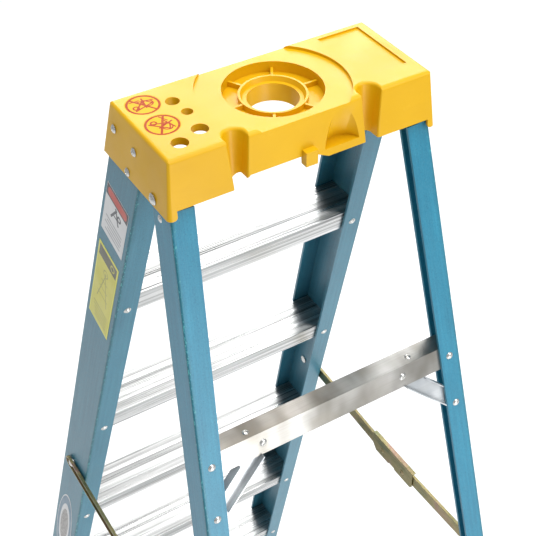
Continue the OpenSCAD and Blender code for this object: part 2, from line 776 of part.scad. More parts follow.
// Steel plate inside the rear rail's web, around the hinge pin
module hinge_plate(side) color(bare_metal) cap_frame() on_side(side) difference() {
  rear_frame() translate([-rail_wall - gap, 0, 0]) {
    half = 11;
    translate([-hinge_plate_wall, pin_across - half, -pin_down - 36]) cube([hinge_plate_wall, 2 * half, 36]);
    translate([-hinge_plate_wall, pin_across, -pin_down]) rotate([0, 90, 0]) cylinder(r = half, h = hinge_plate_wall);
  }
  at_hinge_pin() translate([0, 0, -30]) cylinder(r = pin_r + running_play, h = 60);
  at_plate_rivet() rivet_hole();
}
module hinge_plate_left() hinge_plate(-1);
module hinge_plate_right() hinge_plate(1);
module hinge_plate_rivets() color(bare_metal) cap_frame()
  for (side = [-1, 1])
    on_side(side) at_plate_rivet() rivet(rail_wall + gap + hinge_plate_wall, rivet_r, 4.6, 1.6);

// A brace: a leaning rear face with a level top flange
module rear_brace(number) color(bare_metal) cap_frame() {
  fall = brace_height * cos(rear_lean);
  wall = brace_wall / cos(rear_lean);
  difference() {
    intersection() {
      translate([0, brace_y(number), -brace_top(number)]) along_x(-big, big) polygon([
        [0, 0], [fall * rear_slope, -fall], [fall * rear_slope - wall, -fall],
        [brace_wall * rear_slope - wall, -brace_wall], [-brace_depth, -brace_wall], [-brace_depth, 0]]);
      between_rails(rear_rail_inset + (rail_wall + gap) / cos(splay), -big, big);
    }
    for (side = [-1, 1])
      on_side(side) {
        at_brace_rivet(number, brace_rivet_drop) rivet_hole();
        at_gusset_rivet(number) rivet_hole();
        at_lug_rivet(number) rivet_hole(lug_rivet_r);
      }
  }
}
module rear_brace_upper() rear_brace(1);
module rear_brace_middle() rear_brace(2);
module rear_brace_lower() rear_brace(3);

module brace_rivets() color(bare_metal) cap_frame()
  for (number = [1 : 3], side = [-1, 1])
    on_side(side) {
      at_brace_rivet(number, brace_rivet_drop) rivet(rail_wall + gap + brace_wall + rear_sag * 0.75);
      at_brace_rivet(number, gusset_drop) rivet(gusset_grip);
    }

// A gusset: a folded strut from the brace's face down to the rail's flange. One edge turns
// forward and the other to the rear, and a lug turns forward under the brace's top flange.
module gusset(number, side) color(bare_metal) cap_frame() on_side(side) difference() {
  across = gusset_low_x(number) - gusset_top_x(number);
  rise = gusset_drop - gusset_rivet_drop;
  run = norm([across, rise]);
  lug_x = gusset_top_x(number) + 7;
  union() {
    translate([lug_x, brace_y(number) - brace_wall + lug_rivet_y - 5,
               -brace_top(number) - brace_wall - gap - gusset_wall])
      cube([20, 5 - lug_rivet_y, gusset_wall]);
    brace_plane(number) translate([0, -gap - brace_wall - gusset_wall, 0]) {
      along_y(0, gusset_wall) polygon([[lug_x, -2.4], [lug_x + 20, -2.4], [lug_x + 20, -24], [lug_x, -14]]);
      translate([gusset_top_x(number), 0, -gusset_rivet_drop]) rotate([0, atan2(rise, across), 0]) {
        translate([0, 0, -gusset_width / 2]) cube([run + 4, gusset_wall, gusset_width]);
        rotate([-90, 0, 0]) cylinder(r = 9, h = gusset_wall);
        translate([8, gusset_wall - gusset_flange, gusset_width / 2 - gusset_wall])
          cube([run - 20, gusset_flange, gusset_wall]);
        translate([14, 0, -gusset_width / 2]) cube([run - 26, gusset_wall + gusset_lip, gusset_wall]);
        translate([38, 0, gusset_width / 2 - gusset_wall]) cube([run - 70, gusset_wall + 4, gusset_wall]);
        translate([run, 0, 0]) rotate([-90, 0, 0]) cylinder(r = 6, h = gusset_wall + 0.8);
      }
    }
  }
  at_gusset_rivet(number) rivet_hole();
  at_lug_rivet(number) rivet_hole(lug_rivet_r);
  at_brace_rivet(number, gusset_drop) rivet_hole();
}
module gusset_upper_left() gusset(1, -1);
module gusset_upper_right() gusset(1, 1);
module gusset_middle_left() gusset(2, -1);
module gusset_middle_right() gusset(2, 1);
module gusset_lower_left() gusset(3, -1);
module gusset_lower_right() gusset(3, 1);
module gusset_rivets() color(bare_metal) cap_frame()
  for (number = [1 : 3], side = [-1, 1])
    on_side(side) {
      at_gusset_rivet(number) hollow_rivet(brace_wall + gap + gusset_wall);
      at_lug_rivet(number) hollow_rivet(brace_wall + gap + gusset_wall, lug_rivet_r, 4.2, 1.8, 3.4);
    }

// ---------------------------------------------------------------- spreaders

// Front pivot of a spreader; +Z of the children points outward
module at_spread_front()
  translate([bar_inner_x, spread_front[0], -spread_front[1]]) rotate([0, 90, 0]) children();
module at_spread_rear()
  translate([bar_inner_x, spread_rear[0], -spread_rear[1]]) rotate([0, 90, 0]) children();
module at_plate_rivets() {
  for (spot = [spread_plate_front, spread_plate_rear])
    translate([plate_inner_x, spot[0], -spot[1]]) rotate([0, 90, 0]) children();
}

// A strip with round ends, between two (Y, drop) points
module strip(a, b, half) {
  run = sqrt((b[0] - a[0]) * (b[0] - a[0]) + (b[1] - a[1]) * (b[1] - a[1]));
  translate([a[0], -a[1]]) rotate(-atan2(b[1] - a[1], b[0] - a[0])) {
    translate([0, -half]) square([run, 2 * half]);
    circle(half);
    translate([run, 0]) circle(half);
  }
}

// A pressed bar: a strip with a rim all round its outer side
module pressed_bar(a, b) difference() {
  along_x(bar_inner_x, bar_inner_x + bar_depth) strip(a, b, bar_height / 2);
  along_x(bar_inner_x + bar_wall, bar_inner_x + bar_depth + 1) strip(a, b, bar_height / 2 - bar_wall);
}

module spreader_front_bar(side) color(zinc_brass) cap_frame() on_side(side) difference() {
  pressed_bar([spread_front[0] - bar_overhang, spread_front[1]], [spread_plate_front[0], bar_line]);
  at_spread_front() translate([0, 0, -10]) cylinder(r = spread_pivot_r + running_play, h = 20);
  at_plate_rivets() translate([0, 0, -10]) cylinder(r = spread_rivet_r + running_play, h = 30);
}
module spreader_front_bar_left() spreader_front_bar(-1);
module spreader_front_bar_right() spreader_front_bar(1);

module spreader_rear_bar(side) color(zinc_brass) cap_frame() on_side(side) difference() {
  pressed_bar([spread_plate_rear[0], bar_line], spread_rear);
  at_spread_rear() rivet_hole(spread_pivot_r);
  at_plate_rivets() translate([0, 0, -10]) cylinder(r = spread_rivet_r + running_play, h = 30);
}
module spreader_rear_bar_left() spreader_rear_bar(-1);
module spreader_rear_bar_right() spreader_rear_bar(1);

// The centre plate: a web inside the bars and a top flange over them, notched below
module spreader_plate(side) color(zinc_brass) cap_frame() on_side(side) difference() {
  y0 = plate_ends[0];
  y1 = plate_ends[1];
  mid = (y0 + y1) / 2;
  union() {
    along_x(plate_inner_x, plate_inner_x + plate_wall) polygon([
      [y0, -plate_top], [y0, -plate_bottom + 12], [y0 + 10, -plate_bottom], [mid - 9, -plate_bottom],
      [mid - 6, -plate_bottom + 3], [mid + 6, -plate_bottom + 3], [mid + 9, -plate_bottom],
      [y1 - 4, -plate_bottom], [y1, -plate_bottom + 4], [y1, -plate_top]]);
    translate([plate_inner_x, y0, -plate_top - plate_wall]) cube([plate_flange, y1 - y0, plate_wall]);
  }
  at_plate_rivets() rivet_hole(spread_rivet_r);
}
module spreader_plate_left() spreader_plate(-1);
module spreader_plate_right() spreader_plate(1);

// Each front pivot passes through the bar, a spacer and the front rail's leaning web
module spreader_front_pivots() color(bare_metal) cap_frame()
  for (side = [-1, 1])
    on_side(side) {
      at_spread_front() translate([0, 0, bar_wall + 0.2])
        rivet(bar_wall + 0.2 + spread_pivot_depth, spread_pivot_r, 7, 3, 6.5);
      difference() {
        at_spread_front() translate([0, 0, -5]) cylinder(r = 7, h = 4.8);
        front_frame() translate([gap - 20, -front_web, -rail_length]) cube([20, front_web, rail_length]);
      }
    }

module spreader_plate_rivets(side) color(bare_metal) cap_frame() on_side(side)
  at_plate_rivets() mirror([0, 0, 1])
    hollow_rivet(bar_inner_x + bar_wall - plate_inner_x + 0.2, spread_rivet_r, 5, 1.6, 5.5);
module spreader_plate_rivets_left() spreader_plate_rivets(-1);
module spreader_plate_rivets_right() spreader_plate_rivets(1);

// The rear pivot's rivet rides with the bar and ends clear of the rail's outer face
module spreader_end_rivet(side) color(bare_metal) cap_frame() on_side(side)
  at_spread_rear() translate([0, 0, bar_wall]) rivet(bar_wall + 0.4, spread_pivot_r, 7, 3, 0);
module spreader_end_rivet_left() spreader_end_rivet(-1);
module spreader_end_rivet_right() spreader_end_rivet(1);

// ---------------------------------------------------------------- what is drawn

top_cap();
cap_decal_front();
cap_decal_rear();
cap_rivets();
hinge_pins();
front_rail_left();
front_rail_right();
front_shoe_left();
front_shoe_right();
front_shoe_rivets();
step_1();
step_2();
step_3();
step_4();
step_5();
step_rivets();
knee_brace_left();
knee_brace_right();
knee_brace_rivets();
rail_label_upper();
rail_label_lower();
rail_badge();
rear_rail_left();
rear_rail_right();
rear_shoe_left();
rear_shoe_right();
rear_shoe_rivets();
hinge_plate_left();
hinge_plate_right();
hinge_plate_rivets();
rear_brace_upper();
rear_brace_middle();
rear_brace_lower();
brace_rivets();
gusset_upper_left();
gusset_upper_right();
gusset_middle_left();
gusset_middle_right();
gusset_lower_left();
gusset_lower_right();
gusset_rivets();
spreader_front_bar_left();
spreader_front_bar_right();
spreader_plate_left();
spreader_plate_right();
spreader_rear_bar_left();
spreader_rear_bar_right();
spreader_front_pivots();
spreader_plate_rivets_left();
spreader_plate_rivets_right();
spreader_end_rivet_left();
spreader_end_rivet_right();
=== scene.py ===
import bpy, bmesh, json, math
from mathutils import Euler, Matrix, Vector

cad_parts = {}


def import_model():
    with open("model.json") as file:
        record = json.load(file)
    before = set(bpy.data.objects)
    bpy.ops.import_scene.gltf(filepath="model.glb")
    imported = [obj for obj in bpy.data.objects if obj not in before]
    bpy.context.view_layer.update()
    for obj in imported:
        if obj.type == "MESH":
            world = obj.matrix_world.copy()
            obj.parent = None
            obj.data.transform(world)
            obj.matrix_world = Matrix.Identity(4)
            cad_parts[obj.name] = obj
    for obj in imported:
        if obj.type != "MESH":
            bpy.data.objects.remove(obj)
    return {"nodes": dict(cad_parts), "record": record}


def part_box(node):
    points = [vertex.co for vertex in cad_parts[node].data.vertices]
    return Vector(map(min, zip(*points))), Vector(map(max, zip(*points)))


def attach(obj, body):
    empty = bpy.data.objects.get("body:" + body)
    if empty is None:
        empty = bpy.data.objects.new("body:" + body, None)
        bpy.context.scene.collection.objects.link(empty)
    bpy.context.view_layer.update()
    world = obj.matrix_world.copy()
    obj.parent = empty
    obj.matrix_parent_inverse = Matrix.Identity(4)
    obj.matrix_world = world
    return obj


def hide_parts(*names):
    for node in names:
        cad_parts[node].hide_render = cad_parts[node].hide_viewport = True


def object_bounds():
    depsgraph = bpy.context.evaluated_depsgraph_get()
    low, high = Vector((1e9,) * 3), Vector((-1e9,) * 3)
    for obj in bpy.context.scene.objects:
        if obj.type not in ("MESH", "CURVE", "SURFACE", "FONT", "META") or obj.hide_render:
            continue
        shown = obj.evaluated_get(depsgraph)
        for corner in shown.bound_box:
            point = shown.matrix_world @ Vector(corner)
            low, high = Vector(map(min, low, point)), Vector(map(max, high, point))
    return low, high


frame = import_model()
CAD_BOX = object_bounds()
NODES = frame["nodes"]
BODY_OF = {n: b for b, ns in frame["record"]["behaviour"]["bodies"].items() for n in ns}
SLOT_OF = {p["node"]: p["material_slot"] for p in frame["record"]["subparts"]}

# Metres and degrees. X points to the ladder's right side, Y to its rear and Z up.
TOP = CAD_BOX[1].z
CAP_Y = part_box("top_cap")[1].y - 0.080      # the middle of the cap's deck, front to rear
SPLAY = 4.3                                 # each rail leans this far outward
FRONT_LEAN = 16.6                           # the front rails' slope, seen from the side
REAR_LEAN = 14.1
FRONT_WEB = 0.073                           # the rails' depth from front to rear
REAR_WEB = 0.043
# Where each kind of rail's outer rear corner would meet the plane of the cap's top.
FRONT_CORNER = Vector((0.1628, CAP_Y + 0.0208, TOP))
REAR_CORNER = Vector((0.1618, CAP_Y + 0.0512, TOP))
BADGE_HALF = (0.026, 0.112)                 # the oval badge's half-width and half-height

CAP_YELLOW = [(0.3, (0.66, 0.365, 0.0022)), (0.7, (0.72, 0.410, 0.0035))]


# ------------------------------------------------------------------ node helpers

class Mat:
    """A small builder for one procedural material."""

    def __init__(self, name):
        self.mat = bpy.data.materials.new(name)
        self.mat.use_nodes = True
        self.nt = self.mat.node_tree
        self.bsdf = self.nt.nodes["Principled BSDF"]
        self.coord = self.nt.nodes.new("ShaderNodeTexCoord")

    def set(self, **values):
        """Sets plain inputs of the shader, with _ for each space in a name."""
        for key, value in values.items():
            self.bsdf.inputs[key.replace("_", " ")].default_value = value

    def link(self, a, b):
        self.nt.links.new(a, b)

    def feed(self, socket, value):
        """Links another node's output to a socket, or sets its number or colour."""
        if hasattr(value, "is_output"):
            self.link(value, socket)
        elif isinstance(value, (int, float)):
            socket.default_value = value
        else:
            socket.default_value = (*value, 1)

    def node(self, kind, vector=None, **inputs):
        """A new node with its plain inputs set, fed with a vector if it takes one."""
        n = self.nt.nodes.new("ShaderNode" + kind)
        if vector is not None:
            self.link(vector, n.inputs["Vector"])
        for key, value in inputs.items():
            n.inputs[key].default_value = value
        return n

    def mapped(self, scale=(1, 1, 1), location=(0, 0, 0)):
        """The object's own coordinates, scaled and shifted."""
        return self.node("Mapping", self.coord.outputs["Object"],
                         Scale=scale, Location=location).outputs["Vector"]

    def moved(self, vector, rotation, origin=(0, 0, 0)):
        """Coordinates measured from an origin, then turned."""
        angles = [math.radians(a) for a in rotation]
        shift = -(Euler(angles).to_matrix() @ Vector(origin))
        return self.node("Mapping", vector, Rotation=angles, Location=shift).outputs["Vector"]

    def scaled(self, vector, scale):
        return self.node("Mapping", vector, Scale=scale).outputs["Vector"]

    def parts(self, vector):
        split = self.nt.nodes.new("ShaderNodeSeparateXYZ")
        self.link(vector, split.inputs[0])
        return split.outputs["X"], split.outputs["Y"], split.outputs["Z"]

    def join(self, x, y, z):
        n = self.nt.nodes.new("ShaderNodeCombineXYZ")
        for value, socket in zip((x, y, z), n.inputs):
            self.feed(socket, value)
        return n.outputs[0]

    def in_rail(self, corner, lean):
        """A rail's own coordinates on both sides: X outward, Y to the rear, Z along it."""
        x, y, z = self.parts(self.coord.outputs["Object"])
        v = self.moved(self.join(self.math("ABSOLUTE", x), y, z), (0, SPLAY, 0), corner)
        return self.moved(v, (lean, 0, 0))

    def noise(self, vector, scale, detail=4.0, rough=0.55, distortion=0.0):
        return self.node("TexNoise", vector, Scale=scale, Detail=detail, Roughness=rough,
                         Distortion=distortion).outputs["Fac"]

    def voronoi(self, vector, scale, output="Distance"):
        return self.node("TexVoronoi", vector, Scale=scale).outputs[output]

    def ramp(self, fac, stops):
        """A colour ramp with two or more stops, each a place and a colour."""
        r = self.nt.nodes.new("ShaderNodeValToRGB")
        elements = r.color_ramp.elements
        while len(elements) < len(stops):
            elements.new(0.5)
        for element, (at, colour) in zip(elements, stops):
            element.position = at
            element.color = (*colour, 1)
        self.link(fac, r.inputs["Fac"])
        return r.outputs["Color"]

    def grey(self, fac, stops):
        """A ramp between plain values."""
        return self.ramp(fac, [(at, (v, v, v)) for at, v in stops])

    def mix(self, fac, a, b, mode="MIX"):
        m = self.nt.nodes.new("ShaderNodeMix")
        m.data_type = "RGBA"
        m.blend_type = mode
        for key, value in (("Factor", fac), ("A", a), ("B", b)):
            self.feed(m.inputs[key], value)
        return m.outputs["Result"]

    def math(self, op, a, b=0.0):
        m = self.nt.nodes.new("ShaderNodeMath")
        m.operation = op
        self.feed(m.inputs[0], a)
        self.feed(m.inputs[1], b)
        return m.outputs[0]

    def bump(self, height, strength, distance, normal=None):
        b = self.node("Bump", Strength=strength, Distance=distance)
        self.link(height, b.inputs["Height"])
        if normal is not None:
            self.link(normal, b.inputs["Normal"])
        return b.outputs["Normal"]

    def length(self, a, b):
        squares = [self.math("MULTIPLY", side, side) for side in (a, b)]
        return self.math("SQRT", self.math("ADD", *squares))

    def gap(self, value, centre):
        """How far a value lies from a centre, either way."""
        return self.math("ABSOLUTE", self.math("SUBTRACT", value, centre))

    def box(self, a, b, centre, half, r=0.0005):
        """1 inside a rectangle with round corners, 0 outside."""
        beyond = [self.math("MAXIMUM", self.math("SUBTRACT", self.gap(value, c), h - r), 0.0)
                  for value, c, h in zip((a, b), centre, half)]
        return self.math("LESS_THAN", self.length(*beyond), r)

    def ring(self, a, b, centre, radius, half):
        """1 within a circle's line of a given half-width."""
        away = self.length(self.math("SUBTRACT", a, centre[0]), self.math("SUBTRACT", b, centre[1]))
        return self.math("LESS_THAN", self.gap(away, radius), half)

    def bar(self, a, b, angle, offset, half, reach):
        """1 on a straight stroke at an angle, shifted along and across its own line."""
        c, s = math.cos(math.radians(angle)), math.sin(math.radians(angle))
        along = self.math("ADD", self.math("MULTIPLY", a, c), self.math("MULTIPLY", b, s))
        across = self.math("SUBTRACT", self.math("MULTIPLY", b, c), self.math("MULTIPLY", a, s))
        thin = self.math("LESS_THAN", self.gap(across, offset[1]), half)
        short = self.math("LESS_THAN", self.gap(along, offset[0]), reach)
        return self.math("MULTIPLY", thin, short)

    def bars(self, a, b, strokes):
        return [self.bar(a, b, *stroke) for stroke in strokes]

    def either(self, *masks):
        total = masks[0]
        for mask in masks[1:]:
            total = self.math("MAXIMUM", total, mask)
        return total

    def finish(self, colour, rough=None, normal=None):
        for key, value in (("Base Color", colour), ("Roughness", rough), ("Normal", normal)):
            if value is not None:
                self.link(value, self.bsdf.inputs[key])
        return self.mat


# ------------------------------------------------------------------ materials

def halfway(a, b):
    return tuple((p + q) / 2 for p, q in zip(a, b))


def times(colour, *factors):
    """A colour times one factor, or times one for each channel."""
    return tuple(c * f for c, f in zip(colour, factors if len(factors) == 3 else factors * 3))


def cap_plastic():
    """Moulded yellow plastic: soft clouds and flow lines, scuffs and a fine pebbled grain."""
    m = Mat("cap_plastic")
    v = m.mapped()
    base = m.ramp(m.noise(v, 9, 3), CAP_YELLOW)
    flow = m.noise(m.mapped(scale=(0.3, 1, 1)), 34, 5, 0.6, 0.6)
    base = m.mix(m.grey(flow, [(0.50, 0), (0.75, 0.22)]), base, (0.60, 0.31, 0.003))
    scuff = m.grey(m.noise(m.mapped(scale=(1, 3, 1)), 60, 8, 0.7), [(0.62, 0), (0.74, 0.22)])
    base = m.mix(scuff, base, (0.84, 0.56, 0.05))
    grain = m.noise(v, 1500, 2, 0.5)
    pebble = m.voronoi(v, 900)
    rough = m.grey(m.noise(v, 24, 6), [(0.3, 0.30), (0.7, 0.44)])
    n = m.bump(pebble, 0.07, 0.0004)
    n = m.bump(grain, 0.07, 0.0003, n)
    m.set(Specular_IOR_Level=0.30)
    return m.finish(base, rough, n)


def rail_resin(name, corner, lean, web, dark, light):
    """Glass-fibre resin: fibres along the rail, a speckled veil, and green along the corners."""
    m = Mat(name)
    v = m.in_rail(corner, lean)
    x, y, _ = m.parts(v)
    streak = m.noise(m.scaled(v, (1, 1, 0.03)), 240, 5, 0.6)
    veil = m.noise(m.scaled(v, (1, 1, 0.5)), 420, 6, 0.75, 1.0)
    blotch = m.noise(m.scaled(v, (1, 1, 0.4)), 30, 4, 0.6)
    fleck = m.voronoi(m.scaled(v, (1, 1, 0.4)), 520)
    base = m.ramp(streak, [(0.28, dark), (0.72, light)])
    base = m.mix(m.grey(veil, [(0.44, 0), (0.68, 0.40)]), base, (0.052, 0.285, 0.385))
    base = m.mix(m.grey(blotch, [(0.40, 0), (0.75, 0.30)]), base, (0.010, 0.105, 0.170))
    base = m.mix(m.grey(fleck, [(0.0, 0.30), (0.26, 0)]), base, (0.10, 0.40, 0.50))
    mottle = m.noise(m.scaled(v, (1, 1, 0.6)), 650, 3, 0.6)
    base = m.mix(m.grey(mottle, [(0.54, 0), (0.66, 0.45)]), base, times(dark, 0.55))
    inset = 0.0012
    to_rear, to_front = [m.length(m.math("ADD", x, inset), m.math("ADD", y, depth))
                         for depth in (inset, web - inset)]
    edge = m.grey(m.math("MINIMUM", to_rear, to_front), [(0.0014, 1), (0.0038, 0)])
    patchy = m.grey(m.noise(m.scaled(v, (1, 1, 0.22)), 300, 4, 0.7), [(0.34, 0.35), (0.55, 1.0)])
    base = m.mix(m.math("MULTIPLY", edge, patchy), base, (0.002, 0.115, 0.150))
    chips = m.grey(m.noise(m.scaled(v, (1, 1, 0.30)), 520, 3, 0.6), [(0.57, 0), (0.63, 0.85)])
    base = m.mix(m.math("MULTIPLY", edge, chips), base, (0.10, 0.47, 0.46))
    rough = m.grey(veil, [(0.3, 0.30), (0.7, 0.46)])
    n = m.bump(streak, 0.16, 0.0004)
    n = m.bump(veil, 0.12, 0.0003, n)
    m.set(Specular_IOR_Level=0.55)
    return m.finish(base, rough, n)


def drawn_metal(name, light, dark, rough_range):
    """Aluminium with broad and fine streaks along the way it was drawn, and thin dark lines."""
    m = Mat(name)
    along = m.mapped(scale=(0.012, 1, 1))
    band = m.noise(along, 75, 4, 0.7)
    line = m.noise(along, 620, 4, 0.65)
    groove = m.noise(m.mapped(scale=(0.008, 1, 1), location=(0.3, 0.7, 0.2)), 260, 2, 0.5)
    middle = halfway(light, dark)
    base = m.ramp(band, [(0.36, dark), (0.47, middle), (0.58, light)])
    base = m.mix(m.grey(line, [(0.42, 0), (0.66, 0.55)]), base, middle)
    base = m.mix(m.grey(groove, [(0.60, 0), (0.64, 0.65)]), base, times(dark, 0.55))
    smear = m.noise(m.mapped(scale=(0.25, 1, 1)), 26, 5, 0.6)
    base = m.mix(m.grey(smear, [(0.46, 0), (0.72, 0.35)]), base, times(middle, 0.8))
    rough = m.grey(m.noise(along, 180, 6, 0.7), [(0.3, rough_range[0]), (0.7, rough_range[1])])
    m.set(Metallic=1.0)
    return m.finish(base, rough, m.bump(line, 0.35, 0.0002))


def rolled_metal(name, light, dark, metallic=1.0):
    """Satin sheet with soft clouds along its length and only faint rolling lines."""
    m = Mat(name)
    cloud = m.noise(m.mapped(scale=(1, 0.5, 0.5)), 13, 3, 0.5)
    line = m.noise(m.mapped(scale=(0.02, 1, 1)), 520, 3, 0.5)
    stain = m.noise(m.mapped(scale=(0.6, 1, 1)), 34, 2, 0.5)
    middle = halfway(light, dark)
    base = m.ramp(cloud, [(0.38, dark), (0.50, middle), (0.60, light)])
    base = m.mix(m.grey(line, [(0.45, 0), (0.70, 0.22)]), base, dark)
    base = m.mix(m.grey(stain, [(0.50, 0), (0.72, 0.20)]), base, times(dark, 1.2, 1.1, 0.95))
    rough = m.grey(cloud, [(0.3, 0.27), (0.7, 0.33)])
    m.set(Metallic=metallic)
    return m.finish(base, rough, m.bump(line, 0.05, 0.0001))


def bright_rivet():
    """Bright steel with small dull spots."""
    m = Mat("rivet_steel")
    spot = m.noise(m.mapped(), 700, 5, 0.7)
    base = m.ramp(spot, [(0.35, (0.50, 0.50, 0.48)), (0.65, (0.74, 0.74, 0.71))])
    rough = m.grey(spot, [(0.3, 0.20), (0.7, 0.36)])
    m.set(Metallic=1.0)
    return m.finish(base, rough, m.bump(spot, 0.12, 0.0002))


def yellow_zinc():
    """Passivated zinc: olive and brass, drifting to pink and green."""
    m = Mat("spreader_zinc")
    drift = m.noise(m.mapped(scale=(1, 0.35, 1)), 42, 5, 0.62, 0.8)
    olive, brass, pale_brass = (0.12, 0.15, 0.085), (0.22, 0.20, 0.090), (0.30, 0.25, 0.120)
    pink, green = (0.33, 0.20, 0.165), (0.17, 0.20, 0.145)
    base = m.ramp(drift, [(0.28, olive), (0.42, brass), (0.54, pale_brass), (0.66, pink), (0.80, green)])
    fine = m.noise(m.mapped(scale=(1, 0.15, 1)), 800, 4, 0.6)
    base = m.mix(m.grey(fine, [(0.45, 0), (0.75, 0.30)]), base, (0.44, 0.42, 0.31))
    rough = m.grey(m.noise(m.mapped(), 120, 6, 0.7), [(0.3, 0.26), (0.7, 0.44)])
    m.set(Metallic=0.95)
    return m.finish(base, rough, m.bump(fine, 0.25, 0.0002))


def zinc_steel():
    """Grey galvanised steel with faint spangle."""
    m = Mat("bracket_steel")
    spangle = m.voronoi(m.mapped(), 240, output="Color")
    fine = m.noise(m.mapped(), 600, 5, 0.65)
    base = m.ramp(fine, [(0.3, (0.30, 0.31, 0.32)), (0.7, (0.50, 0.51, 0.52))])
    base = m.mix(0.12, base, spangle, "SOFT_LIGHT")
    rough = m.grey(fine, [(0.3, 0.30), (0.7, 0.46)])
    m.set(Metallic=1.0)
    return m.finish(base, rough, m.bump(fine, 0.2, 0.0002))


def shoe_rubber():
    """Black rubber with grey dust and a coarse grain."""
    m = Mat("shoe_rubber")
    v = m.mapped()
    dust = m.noise(v, 30, 6, 0.65)
    base = m.ramp(dust, [(0.35, (0.018, 0.018, 0.020)), (0.75, (0.050, 0.049, 0.048))])
    grain = m.voronoi(v, 700)
    rough = m.grey(dust, [(0.3, 0.62), (0.7, 0.82)])
    return m.finish(base, rough, m.bump(grain, 0.25, 0.0004))


def film(m, base, gloss=(0.28, 0.40), worn=0.22):
    """Finishes a printed film with slight wear and a faintly uneven surface."""
    wear = m.grey(m.noise(m.mapped(), 160, 8, 0.7), [(0.58, 0), (0.82, worn)])
    base = m.mix(wear, base, (0.55, 0.53, 0.48))
    rough = m.grey(m.noise(m.mapped(), 50, 5), [(0.3, gloss[0]), (0.7, gloss[1])])
    return m.finish(base, rough, m.bump(m.noise(m.mapped(), 90, 3), 0.05, 0.0003))


def on_label(m, node):
    """Across and up a label on a front rail, in metres from its middle."""
    low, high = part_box(node)
    _, y, z = m.parts(m.moved(m.coord.outputs["Object"], (FRONT_LEAN, 0, 0), (low + high) / 2))
    return y, z


def notice_label():
    """White film with a dark head, a red bar in it, a plain emblem and rows of grey strokes."""
    m = Mat("label_upper_print")
    a, b = on_label(m, "rail_label_upper")
    base = m.ramp(m.noise(m.mapped(), 40, 3), [(0.3, (0.66, 0.66, 0.66)), (0.7, (0.72, 0.72, 0.71))])
    base = m.mix(m.box(a, b, (0, 0.0315), (0.0275, 0.0090)), base, (0.030, 0.022, 0.030))
    base = m.mix(m.box(a, b, (0, 0.0310), (0.0245, 0.0062), 0.0055), base, (0.52, 0.055, 0.030))
    strokes = m.bars(a, b, [(62, (0.006, 0.008), 0.0016, 0.012), (118, (0.007, -0.008), 0.0016, 0.012),
                            (0, (0.0, 0.0065), 0.0012, 0.007)])
    emblem = m.either(*strokes, m.ring(a, b, (0.009, 0.012), 0.0035, 0.0013))
    base = m.mix(emblem, base, (0.055, 0.060, 0.065))
    widths = [(0.021, 0.0), (0.019, 0.002), (0.022, 0.0), (0.017, 0.003), (0.020, 0.001)]
    rows = [m.box(a, b, (shift, -0.010 - 0.0055 * i), (half, 0.0012))
            for i, (half, shift) in enumerate(widths)]
    base = m.mix(m.math("MULTIPLY", m.either(*rows), 0.55), base, (0.16, 0.17, 0.18))
    return film(m, base)


def care_label():
    """Yellow film with a dark head, a thin border and an outline drawing."""
    m = Mat("label_lower_print")
    a, b = on_label(m, "rail_label_lower")
    base = m.ramp(m.noise(m.mapped(), 40, 3), [(0.3, (0.60, 0.56, 0.055)), (0.7, (0.66, 0.61, 0.070))])
    base = m.mix(m.box(a, b, (0, 0), (0.0250, 0.0730), 0.002), (0.78, 0.74, 0.09), base)
    base = m.mix(m.box(a, b, (0, 0.061), (0.0235, 0.0095), 0.001), base, (0.085, 0.085, 0.045))
    symbol = m.ring(a, b, (0.013, 0.061), 0.0045, 0.0010)
    base = m.mix(m.math("MULTIPLY", symbol, 0.8), base, (0.62, 0.58, 0.07))
    legs = [(76, (0.004, 0.007), 0.0008, 0.030), (104, (0.004, -0.007), 0.0008, 0.030)]
    treads = [(0, (0.0, 0.016), 0.0007, 0.0085), (0, (0.0, 0.002), 0.0007, 0.011),
              (0, (0.0, -0.012), 0.0007, 0.014)]
    head = m.ring(a, b, (0, 0.034), 0.0055, 0.0008)
    rows = [m.box(a, b, (0.001 * i, -0.040 - 0.0060 * i), (0.019 - 0.001 * i, 0.0010)) for i in range(5)]
    drawing = m.either(*m.bars(a, b, legs + treads), head, *rows)
    base = m.mix(m.math("MULTIPLY", drawing, 0.62), base, (0.20, 0.19, 0.04))
    return film(m, base)


def badge_label():
    """A tall oval film: blue, edged in white, with a grey panel in a white ring."""
    m = Mat("badge_print")
    a, b = on_label(m, "rail_badge")
    across, up = m.math("DIVIDE", a, BADGE_HALF[0]), m.math("DIVIDE", b, BADGE_HALF[1])
    away = m.length(across, up)
    inner = m.length(m.math("DIVIDE", across, 0.68), m.math("DIVIDE", up, 0.71))
    ink = m.noise(m.mapped(scale=(1, 1, 0.4)), 90, 4)
    base = m.ramp(ink, [(0.3, (0.060, 0.150, 0.235)), (0.7, (0.085, 0.190, 0.280))])
    base = m.mix(m.math("GREATER_THAN", away, 0.955), base, (0.62, 0.64, 0.64))
    base = m.mix(m.math("LESS_THAN", inner, 1.0), base, (0.64, 0.65, 0.65))
    speck = m.noise(m.mapped(), 330, 3, 0.6)
    panel = m.ramp(speck, [(0.40, (0.15, 0.13, 0.12)), (0.60, (0.40, 0.39, 0.37))])
    base = m.mix(m.math("LESS_THAN", inner, 0.76), base, panel)
    return film(m, base)


